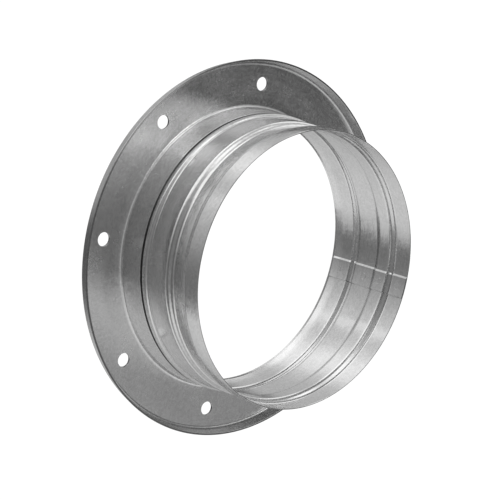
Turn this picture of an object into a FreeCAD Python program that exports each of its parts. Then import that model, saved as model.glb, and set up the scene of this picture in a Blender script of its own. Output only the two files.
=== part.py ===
import FreeCAD, Part
import math
import os

# Flanged duct adapter in galvanised sheet, in millimetres.
# It stands on the flange's back face with the spigot up: +Z is the duct axis, and the origin is the
# centre of the back face. Two pieces make it: a pressed flange ring, and a rolled spigot sleeve that
# stands in the ring's neck.

# Spigot sleeve: its outside slides into a duct of nominal bore
duct_bore = 160.0
duct_clearance = 0.45
spigot_sheet = 0.6
bead_bend = 2.0
groove_bend = 3.5

# Its length is a chain of bands, from the flange end up to the mouth
tail_setback = 2.5
tail_length = 5.0
tail_ease = 1.4
tail_bend = 14.0
tail_taper = 0.25
bead_gap = 0.35
bead_height = 1.5
bead_crest = 2.2
middle_band = 16.2
groove_depth = 2.2
groove_floor = 9.9
end_band = 11.9

# Lap seam: the strip's ends overlap, flush outside and one sheet proud inside
lap_width = 11.6
lap_centre_angle = 84.6

# Flange ring: neck, flat face with bolt holes, and turned lip
flange_sheet = 1.2
neck_clearance = 0.25
neck_height = 17.25
neck_bend = 1.9
lip_reach = 29.15
lip_height = 6.9
lip_angle = 75.0
lip_bend = 1.0
hole_count = 8
hole_diameter = 8.0
hole_reach = 14.5

# Radii and heights that follow from the sizes above
spigot_radius = duct_bore / 2 - duct_clearance
neck_bore = spigot_radius + neck_clearance
neck_radius = neck_bore + flange_sheet
lip_radius = neck_radius + lip_reach
bolt_radius = neck_radius + hole_reach
bead_foot = neck_height + bead_gap
lap_angle = math.degrees(lap_width / spigot_radius)


def bent_line(corners, bends):
    """A sheet's face line in the XZ plane: straight runs through the corners, each bent to its radius."""
    points = [FreeCAD.Vector(radius, 0, height) for radius, height in corners]
    edges = []
    start = points[0]
    for before, corner, after, bend in zip(points, points[1:], points[2:], bends):
        back = before - corner
        ahead = after - corner
        half_turn = (math.pi - back.getAngle(ahead)) / 2
        room = min(back.Length, ahead.Length) / 2
        trim = min(bend * math.tan(half_turn), room)
        radius = trim / math.tan(half_turn)
        back.normalize()
        ahead.normalize()
        inward = back + ahead
        inward.normalize()
        arc_start = corner + back * trim
        arc_end = corner + ahead * trim
        arc_middle = corner + inward * radius * (1 / math.cos(half_turn) - 1)
        if (arc_start - start).Length > 1e-6:
            edges.append(Part.LineSegment(start, arc_start).toShape())
        edges.append(Part.Arc(arc_start, arc_middle, arc_end).toShape())
        start = arc_end
    edges.append(Part.LineSegment(start, points[-1]).toShape())
    return Part.Wire(edges)


def sheet_section(line, thickness):
    """The sheet's section: the face between its face line and the line one thickness beside it."""
    return line.makeOffset2D(thickness, fill=True, openResult=True)


def turned(section, start_angle, sweep):
    """A section in the XZ plane swept round the duct axis from one angle through another."""
    axis = FreeCAD.Vector(0, 0, 1)
    placed = section.copy()
    placed.rotate(FreeCAD.Vector(0, 0, 0), axis, start_angle)
    return placed.revolve(FreeCAD.Vector(0, 0, 0), axis, sweep)


def spigot_line():
    """The outside of the spigot, from the tail that tapers into the neck up to the mouth."""
    tail_radius = spigot_radius - tail_taper
    bead_low = bead_foot + bead_height
    bead_high = bead_low + bead_crest
    bead_top = bead_high + bead_height
    groove_foot = bead_top + middle_band
    groove_low = groove_foot + groove_depth
    groove_high = groove_low + groove_floor
    groove_top = groove_high + groove_depth
    mouth = groove_top + end_band
    crest_radius = spigot_radius + bead_height
    groove_radius = spigot_radius - groove_depth
    corners = [
        (tail_radius - tail_ease, tail_setback),
        (tail_radius, tail_setback + tail_length),
        (spigot_radius, bead_foot),
        (crest_radius, bead_low),
        (crest_radius, bead_high),
        (spigot_radius, bead_top),
        (spigot_radius, groove_foot),
        (groove_radius, groove_low),
        (groove_radius, groove_high),
        (spigot_radius, groove_top),
        (spigot_radius, mouth),
    ]
    bends = [tail_bend] + [bead_bend] * 4 + [groove_bend] * 4
    return bent_line(corners, bends)


def spigot_sleeve():
    """The rolled strip: one sheet thick all round, and two sheets thick over the lap seam."""
    line = spigot_line()
    lap_start = lap_centre_angle - lap_angle / 2
    wall = turned(sheet_section(line, spigot_sheet), lap_start + lap_angle, 360 - lap_angle)
    lap = turned(sheet_section(line, 2 * spigot_sheet), lap_start, lap_angle)
    return wall.fuse(lap).removeSplitter().Solids[0]


def flange_line():
    """The back of the flange sheet, from the neck's edge down, across the back face and up the lip."""
    lip_slant = math.radians(lip_angle)
    lip_root = lip_radius - lip_height / math.tan(lip_slant)
    corners = [
        (neck_bore, neck_height),
        (neck_bore, 0),
        (lip_root, 0),
        (lip_radius, lip_height),
    ]
    return bent_line(corners, [neck_bend + flange_sheet, lip_bend + flange_sheet])


def flange_ring():
    """The pressed ring with its evenly spaced bolt holes."""
    ring = turned(sheet_section(flange_line(), flange_sheet), 0, 360)
    depth = FreeCAD.Vector(0, 0, 3 * flange_sheet)
    up = FreeCAD.Vector(0, 0, 1)
    for index in range(hole_count):
        angle = 2 * math.pi * index / hole_count
        base = FreeCAD.Vector(bolt_radius * math.cos(angle), bolt_radius * math.sin(angle), 0)
        ring = ring.cut(Part.makeCylinder(hole_diameter / 2, depth.Length, base - depth / 3, up))
    return ring.Solids[0]


os.makedirs("parts", exist_ok=True)
for name, shape in {"flange_ring": flange_ring(), "spigot_sleeve": spigot_sleeve()}.items():
    shape.exportStep(f"parts/{name}.step")
    box = shape.optimalBoundingBox(False)
    print(name, shape.ShapeType, len(shape.Solids), "solids, valid", shape.isValid())
    print("  volume", round(shape.Volume, 1), "box", round(box.XLength, 2), round(box.YLength, 2),
          "z", round(box.ZMin, 2), round(box.ZMax, 2))
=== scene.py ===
import math
import bpy
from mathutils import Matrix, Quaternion, Vector


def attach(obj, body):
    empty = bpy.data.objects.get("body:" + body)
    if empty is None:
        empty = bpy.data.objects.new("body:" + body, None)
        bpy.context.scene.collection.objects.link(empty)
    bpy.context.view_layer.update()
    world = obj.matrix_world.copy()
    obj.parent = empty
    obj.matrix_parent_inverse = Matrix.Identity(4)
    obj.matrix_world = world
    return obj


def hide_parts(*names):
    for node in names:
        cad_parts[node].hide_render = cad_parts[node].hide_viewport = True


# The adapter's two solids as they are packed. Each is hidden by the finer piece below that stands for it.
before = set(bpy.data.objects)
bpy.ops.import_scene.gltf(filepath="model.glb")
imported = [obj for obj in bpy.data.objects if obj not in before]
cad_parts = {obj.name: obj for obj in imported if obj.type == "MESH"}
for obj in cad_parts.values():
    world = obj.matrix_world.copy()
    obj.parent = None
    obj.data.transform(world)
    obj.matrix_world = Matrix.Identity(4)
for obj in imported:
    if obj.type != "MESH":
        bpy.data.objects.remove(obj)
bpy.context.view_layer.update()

# Flange ring: one disc of galvanised sheet. The press cuts it round, turns its rim forward into a stiff
# lip, draws its middle forward into a short neck, and punches eight bolt holes between the two.
mm = 0.001
flange_sheet = 1.2
neck_bore = 79.8
neck_height = 17.25
neck_bend = 1.9
lip_radius = 110.15
lip_height = 6.9
lip_angle = math.radians(75)
lip_bend = 1.6
bolt_radius = 95.5
bolt_holes = 8
hole_radius = 4.0
cut_edge = 0.12


def bent_line(corners, bends, steps=8, nearby=0.3, shortest=1e-4):
    """A sheet's face line through its corners, each bent to its radius, with points close to every bend."""
    points = [Vector(corner) for corner in corners]
    bent = [points[0]]
    for before, corner, after, bend in zip(points, points[1:], points[2:], bends):
        back = before - corner
        ahead = after - corner
        half_turn = (math.pi - back.angle(ahead)) / 2
        trim = min(bend * math.tan(half_turn), back.length / 2, ahead.length / 2)
        inward = (back.normalized() + ahead.normalized()).normalized()
        centre = corner + inward * trim / math.sin(half_turn)
        first = corner + back.normalized() * trim - centre
        last = corner + ahead.normalized() * trim - centre
        for step in range(steps + 1):
            bent.append(centre + first.slerp(last, step / steps).normalized() * first.length)
    bent.append(points[-1])
    line = [bent[0]]
    for start, end in zip(bent, bent[1:]):
        run = end - start
        if run.length > 4 * nearby:
            line.append(start + run.normalized() * nearby)
            line.append(end - run.normalized() * nearby)
        if run.length > shortest:
            line.append(end)
    return line


def left_of(line):
    """The direction square to a line at each of its points, on its left."""
    sides = []
    for index, point in enumerate(line):
        along = Vector((0, 0))
        if index > 0:
            along += (point - line[index - 1]).normalized()
        if index < len(line) - 1:
            along += (line[index + 1] - point).normalized()
        sides.append(Vector((-along.y, along.x)).normalized())
    return sides


def sheet_outline(line, thickness, groove=0.0):
    """The closed outline of a sheet: its face line, the eased cut edge, and back along its left side."""
    sides = left_of(line)
    face = [point + side * groove for point, side in zip(line, sides)]
    other = [point + side * thickness for point, side in zip(line, sides)]
    start = (line[1] - line[0]).normalized() * cut_edge
    end = (line[-1] - line[-2]).normalized() * cut_edge
    outline = [face[0] + start] + face[1:-1] + [face[-1] - end]
    outline += [face[-1] + sides[-1] * cut_edge, other[-1] - sides[-1] * cut_edge]
    outline += [other[-1] - end] + other[-2:0:-1] + [other[0] + start]
    outline += [other[0] - sides[0] * cut_edge, face[0] + sides[0] * cut_edge]
    return outline


def cut_rows(line, outline):
    """The two rows of a sheet's outline that are the flats of its cut edges."""
    return len(line), len(outline) - 2


def swept_face(column, beside, row, rows):
    """The four-sided face in a row between one column of a swept outline and the column beside it."""
    after = (row + 1) % rows
    here = column * rows
    there = beside * rows
    return here + row, there + row, there + after, here + after


def shade_round(mesh):
    """Shades a mesh smooth, but for the edges where its faces meet at more than 40 degrees."""
    mesh.shade_smooth()
    mesh.set_sharp_from_angle(angle=math.radians(40))


def new_piece(name, points, faces, material=None, cut_faces=()):
    """A mesh piece from points in millimetres. The faces where its sheet was cut carry a mark."""
    mesh = bpy.data.meshes.new(name)
    mesh.from_pydata([Vector(point) * mm for point in points], [], faces)
    mark = mesh.attributes.new("cut_edge", "FLOAT", "FACE")
    for index in cut_faces:
        mark.data[index].value = 1.0
    shade_round(mesh)
    piece = bpy.data.objects.new(name, mesh)
    bpy.context.scene.collection.objects.link(piece)
    if material:
        mesh.materials.append(material)
    return piece


def round_point(radius, angle, height):
    """A point at a radius and angle round the duct axis."""
    return radius * math.cos(angle), radius * math.sin(angle), height


# The draw leaves the face a little raised round the neck, and the neck a little wide at its root
flare_start = 9.0
root_flare = 0.45
face_rise = 0.3
rise_end = 86.0
flare_bend = 70.0
rise_bend = 60.0
lip_root = lip_radius - lip_height / math.tan(lip_angle)
flange_corners = [
    (neck_bore, neck_height),
    (neck_bore, flare_start),
    (neck_bore + root_flare, face_rise),
    (rise_end, 0),
    (lip_root, 0),
    (lip_radius, lip_height),
]
flange_bends = [flare_bend, neck_bend + flange_sheet, rise_bend, lip_bend + flange_sheet]
flange_line = bent_line(flange_corners, flange_bends)

# One eighth of the ring is meshed, with a square of its cells left open for the hole
eighth_columns = 45
window_start = 88.5
window_step = 1.4
window_cells = 10
touch = 1e-3
window_rows = [window_start + window_step * row for row in range(window_cells + 1)]
window_columns = range((eighth_columns - window_cells) // 2, (eighth_columns + window_cells) // 2)
split = next(index for index, point in enumerate(flange_line) if point.x > bolt_radius)
flange_line[split:split] = [Vector((radius, 0)) for radius in window_rows]
flange_outline = sheet_outline(flange_line, flange_sheet)
ring_rows = len(flange_outline)
eighth_points = []
for column in range(eighth_columns + 1):
    angle = math.radians(360 / bolt_holes * (column / eighth_columns - 0.5))
    eighth_points += [round_point(point.x, angle, point.y) for point in flange_outline]


def by_window(point):
    """Whether a point of the outline is as far from the axis as the open square."""
    return window_rows[0] - touch < point.x < window_rows[-1] + touch


def in_window(column, row):
    """Whether a cell of the eighth lies in the open square, on either face of the sheet."""
    ends = (flange_outline[row], flange_outline[(row + 1) % ring_rows])
    flat = all(min(abs(end.y), abs(end.y - flange_sheet)) < touch for end in ends)
    return column in window_columns and flat and all(by_window(end) for end in ends)


eighth_faces = []
eighth_cuts = []
for column in range(eighth_columns):
    for row in range(ring_rows):
        if not in_window(column, row):
            if row in cut_rows(flange_line, flange_outline):
                eighth_cuts.append(len(eighth_faces))
            eighth_faces.append(swept_face(column, column + 1, row, ring_rows))


def window_frame(height):
    """The points round the open square on one face of the sheet, in turn."""
    rows = [row for row, point in enumerate(flange_outline)
            if abs(point.y - height) < touch and by_window(point)]
    rows.sort(key=lambda row: flange_outline[row].x)
    left = window_columns[0]
    right = window_columns[-1] + 1
    frame_points = [left * ring_rows + row for row in rows[:-1]]
    frame_points += [column * ring_rows + rows[-1] for column in range(left, right)]
    frame_points += [right * ring_rows + row for row in rows[:0:-1]]
    frame_points += [column * ring_rows + rows[0] for column in range(right, left, -1)]
    return frame_points


def ring_of_faces(inner, outer, flip):
    """The four-sided faces between two rings of points."""
    faces = []
    for index in range(len(inner)):
        after = (index + 1) % len(inner)
        face = (inner[index], inner[after], outer[after], outer[index])
        faces.append(face[::-1] if flip else face)
    return faces


# Rings of faces close each square in to its hole. Each ring has its share of the way out to the square,
# and how far it lies down the eased edge: the last one is the edge of the hole's wall.
hole_steps = [(0.42, 0.0), (0.16, 0.0), (0.05, 0.0), (0.0, 0.0), (0.0, cut_edge)]
wall_edges = []
for height, lean in ((flange_sheet, 1), (0.0, -1)):
    square = window_frame(height)
    ring_before = square
    for share, eased in hole_steps:
        ring = []
        for corner in square:
            spot = Vector(eighth_points[corner])
            out = Vector((spot.x - bolt_radius, spot.y))
            reach = hole_radius + cut_edge - eased
            reach += (out.length - reach) * share
            out = out.normalized() * reach
            ring.append(len(eighth_points))
            eighth_points.append((bolt_radius + out.x, out.y, height - eased * lean))
        eighth_faces += ring_of_faces(ring, ring_before, lean > 0)
        ring_before = ring
    wall_edges.append(ring_before)
hole_wall = ring_of_faces(wall_edges[1], wall_edges[0], True)
eighth_cuts += range(len(eighth_faces), len(eighth_faces) + len(hole_wall))
eighth_faces += hole_wall


class Signal:
    """One output of a tree of nodes. Arithmetic on it adds the Math nodes that work it out."""

    def __init__(self, tree, socket=None):
        self.tree = tree
        self.socket = socket

    def node(self, kind, settings=None, inputs=None, output=0):
        """Adds one node: its settings first, then the value or link of each socket. Gives one output."""
        made = self.tree.nodes.new(kind)
        for name, value in (settings or {}).items():
            if name == "stops":
                for place, shade in value[1:-1]:
                    made.color_ramp.elements.new(place)
                for element, (place, shade) in zip(made.color_ramp.elements, value):
                    element.position = place
                    element.color = (shade, shade, shade, 1)
            else:
                setattr(made, name, value)
        for name, value in (inputs or {}).items():
            if isinstance(value, Signal):
                self.tree.links.new(value.socket, made.inputs[name])
            else:
                made.inputs[name].default_value = value
        return Signal(self.tree, made.outputs[output] if len(made.outputs) else None)

    def outputs(self):
        """Every output of the node that this one comes from."""
        return [Signal(self.tree, socket) for socket in self.socket.node.outputs]

    def work(self, operation, *values):
        """One Math node over numbers or signals."""
        return self.node("ShaderNodeMath", {"operation": operation}, dict(enumerate(values)))

    def __add__(self, other):
        return self.work("ADD", self, other)

    def __radd__(self, other):
        return self.work("ADD", other, self)

    def __sub__(self, other):
        return self.work("SUBTRACT", self, other)

    def __rsub__(self, other):
        return self.work("SUBTRACT", other, self)

    def __mul__(self, other):
        return self.work("MULTIPLY", self, other)

    def __rmul__(self, other):
        return self.work("MULTIPLY", other, self)

    def __truediv__(self, other):
        return self.work("DIVIDE", self, other)

    def __pow__(self, other):
        return self.work("POWER", self, other)

    def between(self, low, high):
        """A soft step from 0 at low to 1 at high."""
        limits = {"Value": self, "From Min": low, "From Max": high}
        return self.node("ShaderNodeMapRange", {"interpolation_type": "SMOOTHSTEP"}, limits)

    def noise(self, scale, detail):
        """Soft noise from 0 to 1 over a place, given as a vector."""
        inputs = {"Vector": self, "Scale": scale, "Detail": detail, "Roughness": 0.5}
        return self.node("ShaderNodeTexNoise", None, inputs, "Fac")

    def parts(self):
        """The three numbers in a vector."""
        return self.node("ShaderNodeSeparateXYZ", None, {"Vector": self}).outputs()

    def vector(self, x, y, z):
        """A vector of three numbers or signals."""
        return self.node("ShaderNodeCombineXYZ", None, {"X": x, "Y": y, "Z": z})


def emptied(owner):
    """The tree of nodes of a material or a world, emptied, to build on."""
    owner.use_nodes = True
    owner.node_tree.nodes.clear()
    return Signal(owner.node_tree)


def zinc_finish(name, grey, dullness, marks_across, spangle, cloud, bare_and_shaded_edge,
                drawn=None, crack_shade_angle=None, rolled=()):
    """Galvanised sheet: grey metal with crystals in its zinc, soft clouds, and marks that run round. It is
    dented where the draw wore it, painted darker along the seam's crack as shade, dull by the rolled bends,
    and darker where cut, partly as bare steel and partly as painted shade."""
    material = bpy.data.materials.new(name)
    nodes = emptied(material)
    place = nodes.node("ShaderNodeTexCoord", None, None, "Object")
    x, y, z = place.parts()
    radius = (x * x + y * y) ** 0.5
    round_x = x / radius
    round_y = y / radius
    across = radius if marks_across == "radius" else z

    def marks_round(along, finely, detail):
        """Noise drawn out along the way round, and finely divided across it."""
        return nodes.vector(round_x * along, round_y * along, across * finely).noise(1.0, detail)

    marks = marks_round(1.3, 900, 4.0)
    bands = marks_round(1.1, 160, 3.0)
    clouds = place.noise(38.0, 3.0)
    cells = nodes.node("ShaderNodeTexVoronoi", {"feature": "F1"}, {"Vector": place, "Scale": 900.0}, "Color")
    crystal = cells.parts()[0]
    tone = grey + (crystal - 0.5) * spangle + (clouds - 0.5) * cloud + (marks - 0.5) * 0.06
    # Painted shade: the colour is darkened in a thin line along the lap seam's crack, where shade falls
    if crack_shade_angle is not None:
        aside = nodes.work("ABSOLUTE", nodes.work("ARCTAN2", y, x) - crack_shade_angle)
        tone = tone * (0.82 + 0.18 * aside.between(math.radians(0.05), math.radians(0.2)))
    # Cut faces are darkened, partly as the bare steel of the cut and partly as painted shade, for the neck's
    # edge that lies in the gap under the bead
    bare_and_shaded = nodes.node("ShaderNodeAttribute", {"attribute_name": "cut_edge"}, None, "Fac")
    tone = tone * (1 - bare_and_shaded * (1 - bare_and_shaded_edge))
    colour = nodes.node("ShaderNodeCombineColor", None, {"Red": tone, "Green": tone, "Blue": tone})
    roughness = dullness + (clouds - 0.5) * 0.12 + (crystal - 0.5) * 0.04 + (marks - 0.5) * 0.06
    fade = 1.0
    for low, high in rolled:
        above_low = z.between((low - fade) * mm, low * mm)
        scuffed = above_low * (1 - z.between(high * mm, (high + fade) * mm))
        roughness = roughness + 0.07 * scuffed
    wave = place.noise(26.0, 1.0)
    dents = place.noise(170.0, 2.0)
    if drawn is not None:
        worn_to, smooth_from = drawn
        dents = dents * (2.4 - 1.9 * radius.between(worn_to * mm, smooth_from * mm))
    height = marks * 0.008 + bands * 0.04 + crystal * 0.003 + wave * 0.22 + dents * 0.085
    bump = nodes.node("ShaderNodeBump", None, {"Height": height, "Strength": 1.0, "Distance": mm})
    surface = {"Base Color": colour, "Metallic": 1.0, "Roughness": roughness, "Normal": bump}
    shader = nodes.node("ShaderNodeBsdfPrincipled", None, surface)
    nodes.node("ShaderNodeOutputMaterial", None, {"Surface": shader})
    return material


# The flange's cut faces are darkest: bare steel, and painted shade for the neck's edge under the bead
flange_zinc = zinc_finish("flange_zinc", grey=0.70, dullness=0.24, marks_across="radius",
                          spangle=0.10, cloud=0.16, bare_and_shaded_edge=0.2, drawn=(81.2, 84.0))
eighth = new_piece("pressed_flange", eighth_points, eighth_faces, flange_zinc, eighth_cuts)


def geometry_tree(name, inputs, output):
    """An empty tree of geometry nodes. Gives the tree, its inputs as signals, and their identifiers."""
    tree = bpy.data.node_groups.new(name, "GeometryNodeTree")
    sockets = []
    for title, kind in inputs:
        sockets.append(tree.interface.new_socket(name=title, in_out="INPUT", socket_type=kind))
    tree.interface.new_socket(name=output, in_out="OUTPUT", socket_type="NodeSocketGeometry")
    signals = Signal(tree).node("NodeGroupInput").outputs()[:len(inputs)]
    return tree, signals, [socket.identifier for socket in sockets]


def made_real(piece, tree, values):
    """Gives a piece the mesh that a tree of geometry nodes makes of it, with nothing left to work out."""
    modifier = piece.modifiers.new(tree.name, "NODES")
    modifier.node_group = tree
    for identifier, value in values.items():
        modifier[identifier] = value
    bpy.context.view_layer.update()
    graph = bpy.context.evaluated_depsgraph_get()
    mesh = bpy.data.meshes.new_from_object(piece.evaluated_get(graph))
    piece.modifiers.remove(modifier)
    piece.data = mesh
    shade_round(mesh)
    return piece


# The eighth stands eight times round the axis, and its copies are joined where they meet
join_distance = 1e-5
round_inputs = [
    ("Eighth", "NodeSocketGeometry"),
    ("Times round", "NodeSocketInt"),
    ("Weld distance", "NodeSocketFloat"),
    ("Finish", "NodeSocketMaterial"),
]
round_tree, round_signals, round_keys = geometry_tree("stand_round_the_axis", round_inputs, "Ring")
eighth_in, times_in, join_in, flange_metal_in = round_signals
round_nodes = Signal(round_tree)
stands = round_nodes.node("GeometryNodeMeshLine", None, {"Count": times_in, "Offset": (0.0, 0.0, 0.0)})
eighth_turn = round_nodes.node("GeometryNodeInputIndex") / times_in * (2 * math.pi)
turned = round_nodes.node("GeometryNodeInstanceOnPoints", None, {
    "Points": stands,
    "Instance": eighth_in,
    "Rotation": round_nodes.vector(0.0, 0.0, eighth_turn),
})
all_round = round_nodes.node("GeometryNodeRealizeInstances", None, {"Geometry": turned})
joined = round_nodes.node("GeometryNodeMergeByDistance", None, {"Geometry": all_round, "Distance": join_in})
zinced = round_nodes.node("GeometryNodeSetMaterial", None, {"Geometry": joined, "Material": flange_metal_in})
round_nodes.node("NodeGroupOutput", None, {0: zinced})
flange = made_real(eighth, round_tree, dict(zip(round_keys[1:], (bolt_holes, join_distance, flange_zinc))))
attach(flange, "root")
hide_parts("flange_ring")

# Spigot sleeve: a strip of thinner sheet, rolled into a tube and closed by a lap seam. Rolling gives it a
# stop bead over the neck, a sunken band near the mouth, and a tail that is drawn in to enter the neck and
# curls in at its very end.
spigot_sheet = 0.6
spigot_radius = 79.55
bead_foot = 17.6
bead_top = 22.8
bead_height = 1.5
bead_bend = 2.0
groove_foot = 39.0
groove_top = 53.3
groove_depth = 2.2
groove_bend = 3.5
mouth = 65.2
tail_end = 2.5
curl_bend = 0.8
tail_bend = 60.0
lap_start = math.radians(80.42)
lap_end = math.radians(88.78)
spigot_corners = [
    (77.9, tail_end),
    (78.85, 3.4),
    (79.3, 8.5),
    (spigot_radius, bead_foot),
    (spigot_radius + bead_height, bead_foot + bead_height),
    (spigot_radius + bead_height, bead_top - bead_height),
    (spigot_radius, bead_top),
    (spigot_radius, groove_foot),
    (spigot_radius - groove_depth, groove_foot + groove_depth),
    (spigot_radius - groove_depth, groove_top - groove_depth),
    (spigot_radius, groove_top),
    (spigot_radius, mouth),
]
spigot_line = bent_line(spigot_corners, [curl_bend, tail_bend] + [bead_bend] * 4 + [groove_bend] * 4)

# Where the ends lap, the inner one steps in by a sheet and slopes off at its cut edge, and a fine crack
# runs along the outer one
step_width = math.radians(0.3)
slope_width = math.radians(0.7)
crack_width = math.radians(0.16)
crack_depth = 0.18


def blend(value, low, high):
    """A soft step from 0 at low to 1 at high."""
    share = min(max((value - low) / (high - low), 0.0), 1.0)
    return share * share * (3 - 2 * share)


def wall_at(angle):
    """The sleeve's thickness and the depth of the crack in its outside, at an angle round the axis."""
    stepped = blend(angle, lap_start - step_width, lap_start)
    past_end = min(max((angle - lap_end) / slope_width, 0.0), 1.0)
    crack = max(0.0, 1 - abs(angle - lap_start) / crack_width)
    return spigot_sheet * (1 + stepped * (1 - past_end)), crack_depth * crack


# Columns stand a degree apart, and closer where the sheet's thickness changes
spigot_angles = {math.radians(degree) for degree in range(360)}
close_to_start = (-0.6, -0.3, -0.24, -0.16, -0.08, 0.0, 0.08, 0.16, 0.4)
close_to_end = (-0.3, -0.08, 0.0, 0.08, 0.22, 0.35, 0.48, 0.62, 0.7, 0.78, 1.1)
for lap_edge, close in ((lap_start, close_to_start), (lap_end, close_to_end)):
    spigot_angles |= {lap_edge + math.radians(degrees) for degrees in close}
spigot_angles = sorted(spigot_angles)
spigot_points = []
for angle in spigot_angles:
    spigot_outline = sheet_outline(spigot_line, *wall_at(angle))
    spigot_points += [round_point(point.x, angle, point.y) for point in spigot_outline]
spigot_rows = len(spigot_outline)
spigot_faces = []
spigot_cuts = []
for column in range(len(spigot_angles)):
    for row in range(spigot_rows):
        if row in cut_rows(spigot_line, spigot_outline):
            spigot_cuts.append(len(spigot_faces))
        spigot_faces.append(swept_face(column, (column + 1) % len(spigot_angles), row, spigot_rows))
rolled_bends = [
    (bead_foot, bead_top),
    (groove_foot, groove_foot + groove_depth),
    (groove_top - groove_depth, groove_top),
]
spigot_zinc = zinc_finish("spigot_zinc", grey=0.74, dullness=0.16, marks_across="height", spangle=0.08,
                          cloud=0.18, bare_and_shaded_edge=0.55, crack_shade_angle=lap_start, rolled=rolled_bends)
spigot = new_piece("rolled_spigot", spigot_points, spigot_faces, spigot_zinc, spigot_cuts)
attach(spigot, "root")
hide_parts("spigot_sleeve")

# Seam welds: spot welds that hold the strip's lapped ends together. Each is a faint ring of zinc pressed
# up round the electrode's mark, on the inside and the outside of the lap.
weld_radius = 1.9
wire_radius = 0.08
lap_middle = (lap_start + lap_end) / 2
inside_welds = [(78.15, 9.5), (78.35, 31.0), (76.15, 46.1), (78.35, 59.2)]
outside_welds = [(79.55, 31.0), (77.35, 46.1), (79.55, 59.2)]
weld_places = [round_point(radius, lap_middle, height) for radius, height in inside_welds + outside_welds]
seam_welds = new_piece("seam_welds", weld_places, [])
weld_inputs = [
    ("Welds", "NodeSocketGeometry"),
    ("Ring radius", "NodeSocketFloat"),
    ("Wire radius", "NodeSocketFloat"),
    ("Finish", "NodeSocketMaterial"),
]
weld_tree, weld_signals, weld_keys = geometry_tree("ring_at_each_weld", weld_inputs, "Rings")
welds_in, ring_in, wire_in, weld_metal_in = weld_signals
weld_nodes = Signal(weld_tree)
circle = weld_nodes.node("GeometryNodeCurvePrimitiveCircle", None, {"Resolution": 32, "Radius": ring_in})
wire = weld_nodes.node("GeometryNodeCurvePrimitiveCircle", None, {"Resolution": 8, "Radius": wire_in})
weld_ring = weld_nodes.node("GeometryNodeCurveToMesh", None, {"Curve": circle, "Profile Curve": wire})
east, north, height = weld_nodes.node("GeometryNodeInputPosition").parts()
outward = weld_nodes.vector(east, north, 0.0)
facing = weld_nodes.node("FunctionNodeAlignRotationToVector", {"axis": "Z"}, {"Vector": outward})
placed = weld_nodes.node("GeometryNodeInstanceOnPoints", None, {
    "Points": welds_in,
    "Instance": weld_ring,
    "Rotation": facing,
})
all_rings = weld_nodes.node("GeometryNodeRealizeInstances", None, {"Geometry": placed})
zinced_rings = weld_nodes.node("GeometryNodeSetMaterial", None, {
    "Geometry": all_rings,
    "Material": weld_metal_in,
})
weld_nodes.node("NodeGroupOutput", None, {0: zinced_rings})
weld_values = (weld_radius * mm, wire_radius * mm, spigot_zinc)
seam_welds = made_real(seam_welds, weld_tree, dict(zip(weld_keys[1:], weld_values)))
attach(seam_welds, "root")

# Floor: a pale table under the back face, wide enough to fill the picture. It shows white to the lens, is
# left out of the metal's reflections, and still takes the adapter's soft shadow.
table_reach = 3000
table_height = -0.1
table_corners = [
    (-table_reach, -table_reach, table_height),
    (table_reach, -table_reach, table_height),
    (table_reach, table_reach, table_height),
    (-table_reach, table_reach, table_height),
]
floor = new_piece("floor", table_corners, [(0, 1, 2, 3)])
table = bpy.data.materials.new("table")
table_nodes = emptied(table)
paint = table_nodes.node("ShaderNodeBsdfDiffuse", None, {"Color": (0.9, 0.9, 0.9, 1)})
glow = table_nodes.node("ShaderNodeEmission", None, {"Color": (1, 1, 1, 1), "Strength": 1.08})
seen = table_nodes.node("ShaderNodeLightPath", None, None, "Is Camera Ray")
mixed = table_nodes.node("ShaderNodeMixShader", None, {0: seen * 0.94, 1: paint, 2: glow})
table_nodes.node("ShaderNodeOutputMaterial", None, {"Surface": mixed})
floor.data.materials.append(table)
floor.visible_glossy = False

# Light: a soft studio, mostly seen in the metal and plain white to the lens. A low, a middle and a high
# band of it run round the duct's axis and blend into each other. Round lamps and dim patches lie on them.
room = bpy.data.worlds.new("room")
bpy.context.scene.world = room
room_nodes = emptied(room)
looking = room_nodes.node("ShaderNodeTexCoord", None, None, "Generated")
along_x, along_y, along_z = looking.parts()
turn = room_nodes.work("ARCTAN2", -1 * along_y, -1 * along_x) / (2 * math.pi) + 0.5

# Each stop of a band is its turn from +X, where 1 is all the way round, and its light
low_round = [
    (0.00, 0.66), (0.12, 0.52), (0.19, 0.40), (0.22, 0.16), (0.30, 0.16), (0.34, 0.50), (0.42, 0.56),
    (0.46, 0.68), (0.49, 0.95), (0.53, 1.06), (0.565, 0.80), (0.595, 0.62), (0.635, 0.72), (0.67, 0.60),
    (0.71, 0.48), (0.75, 0.34), (0.79, 0.20), (0.862, 0.18), (0.885, 0.72), (0.93, 0.70), (1.00, 0.66),
]
middle_round = [
    (0.00, 0.50), (0.08, 0.36), (0.20, 0.20), (0.26, 0.16), (0.32, 0.30), (0.355, 0.80), (0.41, 0.80),
    (0.44, 0.40), (0.465, 0.45), (0.49, 0.90), (0.565, 0.90), (0.585, 0.70), (0.64, 0.80), (0.68, 0.60),
    (0.72, 0.36), (0.77, 0.18), (0.84, 0.12), (0.86, 0.25), (0.885, 0.54), (0.95, 0.54), (1.00, 0.50),
]
high_round = [
    (0.00, 0.76), (0.08, 0.68), (0.12, 0.56), (0.16, 0.56), (0.20, 0.50), (0.208, 0.46), (0.235, 0.05),
    (0.27, 0.08), (0.31, 0.33), (0.36, 0.60), (0.42, 0.90), (0.46, 0.90), (0.50, 0.85), (0.56, 0.90),
    (0.59, 0.55), (0.65, 0.36), (0.70, 0.26), (0.78, 0.20), (0.88, 0.24), (0.92, 0.62), (0.96, 0.84),
    (1.00, 0.76),
]
middle_strength = 1.6
horizon_share = 0.6
overhead_light = 0.48
underfoot_light = 0.42
underfoot_shade = 0.32


def band(stops, place):
    """The light of a band at a turn round the axis."""
    return room_nodes.node("ShaderNodeValToRGB", {"stops": stops}, {"Fac": place}).parts()[0]


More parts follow.
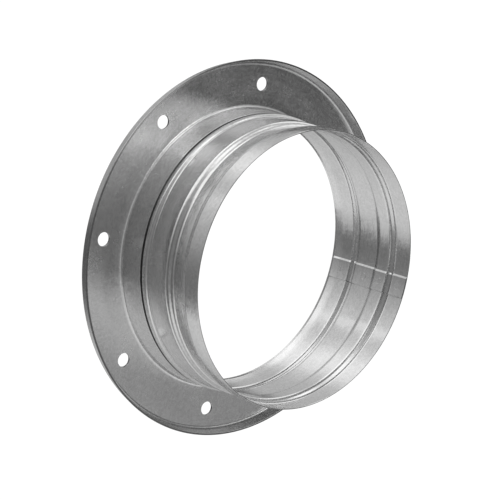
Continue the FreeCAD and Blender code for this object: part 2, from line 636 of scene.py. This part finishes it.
# The dark end of the low band leans, so that its edge slants across the sleeve
lean = (along_z.between(-0.80, -0.64) - 0.5) * 0.10 * turn.between(0.76, 0.85)
low_light = band(low_round, turn + lean)
middle_light = band(middle_round, turn) * middle_strength
high_light = band(high_round, turn)
light = low_light + (middle_light - low_light) * along_z.between(-0.70, -0.55)
light = light + (high_light * horizon_share - light) * along_z.between(-0.35, -0.10)
light = light + (high_light - light) * along_z.between(0.10, 0.45)
overhead = along_z.between(0.84, 0.98)
underfoot = (-1 * along_z).between(0.86, 0.96)
light = light + (overhead_light - light) * overhead
light = light + (underfoot_light - underfoot_shade * along_x.between(-0.10, 0.10) - light) * underfoot

# Lamps and dim patches: azimuth, elevation, radius of the even middle, radius where it ends, and light
lamps = [
    (138, -16, 8, 18, 1.1),
    (194, 24, 9, 16, 1.5),
    (221, -3, 12, 23, 1.2),
    (160, 19, 6, 11, 1.6),
    (328, 28, 13, 18, 0.85),
    (34, 14, 8, 20, 0.95),
    (184, 54, 10, 20, 0.36),
    (66, 40, 8, 11.5, 0.28),
    (188, 49, 5, 10, 1.4),
    (128, 68, 5, 11, 3.0),
    (228, -44, 2, 4, 1.0),
]
for lamp in lamps:
    azimuth, elevation, inner, outer = [math.radians(degrees) for degrees in lamp[:4]]
    strength = lamp[4]
    lamp_x = math.cos(azimuth) * math.cos(elevation)
    lamp_y = math.sin(azimuth) * math.cos(elevation)
    toward = along_x * lamp_x + along_y * lamp_y + along_z * math.sin(elevation)
    lit = toward.between(math.cos(outer), math.cos(inner))
    light = light + (strength - light) * lit
camera_sees = room_nodes.node("ShaderNodeLightPath", None, None, "Is Camera Ray")
level = light + (1 - light) * camera_sees
background = room_nodes.node("ShaderNodeBackground", None, {"Color": (1, 1, 1, 1), "Strength": level})
room_nodes.node("ShaderNodeOutputWorld", None, {"Surface": background})

# Camera: a long lens above the flange, turned on its own axis until the duct's axis lies across the
# picture, so the adapter seems to stand on its rim.
camera_place = Vector((-0.14991, -0.83142, 0.92707))
camera_azimuth = math.radians(-100.128)
camera_elevation = math.radians(47.205)
camera_turn = math.radians(107.255)
lens = bpy.data.cameras.new("camera")
lens.sensor_width = 36.0
lens.lens = 156.578
camera = bpy.data.objects.new("camera", lens)
bpy.context.scene.collection.objects.link(camera)
back = Vector((
    math.cos(camera_elevation) * math.cos(camera_azimuth),
    math.cos(camera_elevation) * math.sin(camera_azimuth),
    math.sin(camera_elevation),
))
camera.location = camera_place
camera.rotation_mode = "QUATERNION"
camera.rotation_quaternion = (-back).to_track_quat("-Z", "Y") @ Quaternion((0, 0, 1), camera_turn)
bpy.context.scene.camera = camera
bpy.context.scene.view_settings.view_transform = "Standard"
